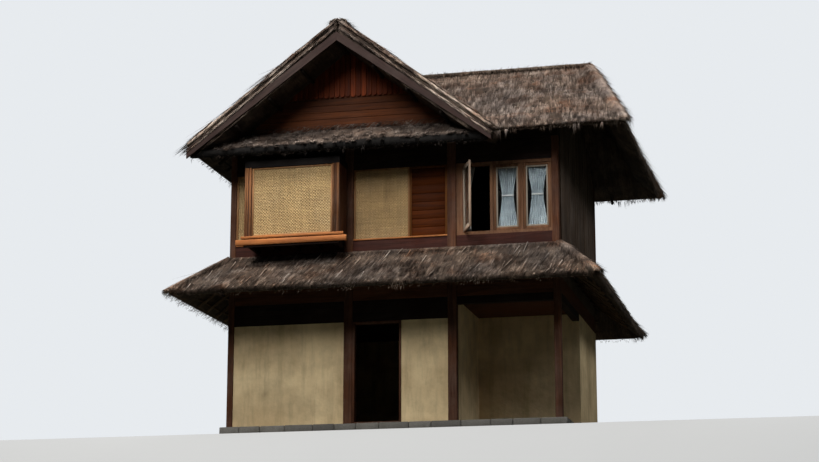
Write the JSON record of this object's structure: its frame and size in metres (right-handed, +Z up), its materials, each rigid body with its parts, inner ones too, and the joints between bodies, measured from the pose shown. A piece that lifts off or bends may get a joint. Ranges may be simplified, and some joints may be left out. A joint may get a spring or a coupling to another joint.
{
  "type": "thatched timber house",
  "caption": "Timber house of two storeys with thatched gable, wing and skirt roofs, a projecting bay, a casement window and an open porch.",
  "frame": {"origin": "middle of the house's footprint at ground level", "axes": "+X along the front towards the wing, +Y from the front into the house, +Z up"},
  "size_m": [8.51, 6.8, 7.7843],
  "materials": {
    "thatch": "matte",
    "timber": "satin",
    "dark_timber": "satin",
    "orange_timber": "satin",
    "pediment_boards": "satin",
    "grey_boards": "matte",
    "matting": "matte",
    "louvre": "satin",
    "sash": "satin",
    "sheer": "matte",
    "curtain": "matte",
    "plaster": "matte",
    "stone": "matte"
  },
  "bodies": {
    "root": {"back_bargeboard_left": "timber", "back_bargeboard_right": "timber", "back_louvre_shutters": "louvre", "back_pediment": "pediment_boards", "bay_blind": "matting", "bay_floor": "orange_timber", "bay_roof": "timber", "bay_side_left": "timber", "bay_side_right": "timber", "front_bargeboard_left": "timber", "front_bargeboard_right": "timber", "front_head_beam": "dark_timber", "front_louvre_shutter": "louvre", "front_matting_panel": "matting", "front_matting_strip": "matting", "front_pediment": "pediment_boards", "front_pent_roof": "thatch", "front_post_left": "timber", "front_post_middle": "timber", "front_post_right": "timber", "front_post_wing": "timber", "front_sash_middle": "sash", "front_sash_open": "sash", "front_sash_right": "sash", "front_sill_wall": "timber", "front_window_frame": "sash", "gable_roof_left": "thatch", "gable_roof_right": "thatch", "ground_back_wall": "plaster", "ground_front_wall_left": "plaster", "ground_front_wall_right": "plaster", "ground_left_wall": "plaster", "ground_right_wall": "plaster", "ground_transom_beam": "dark_timber", "plinth": "stone", "porch_back_wall": "plaster", "porch_front_lintel": "dark_timber", "porch_side_lintel": "dark_timber", "porch_side_wall": "plaster", "sheer_curtain_middle": "sheer", "sheer_curtain_right": "sheer", "skirt_roof_back": "thatch", "skirt_roof_front": "thatch", "skirt_roof_left": "thatch", "skirt_roof_right": "thatch", "tied_curtain": "curtain", "upper_back_wall": "grey_boards", "upper_floor": "timber", "upper_left_wall": "grey_boards", "upper_right_wall": "grey_boards", "wing_roof_back": "thatch", "wing_roof_front": "thatch", "wing_roof_hip": "thatch"}
  },
  "joints": []
}
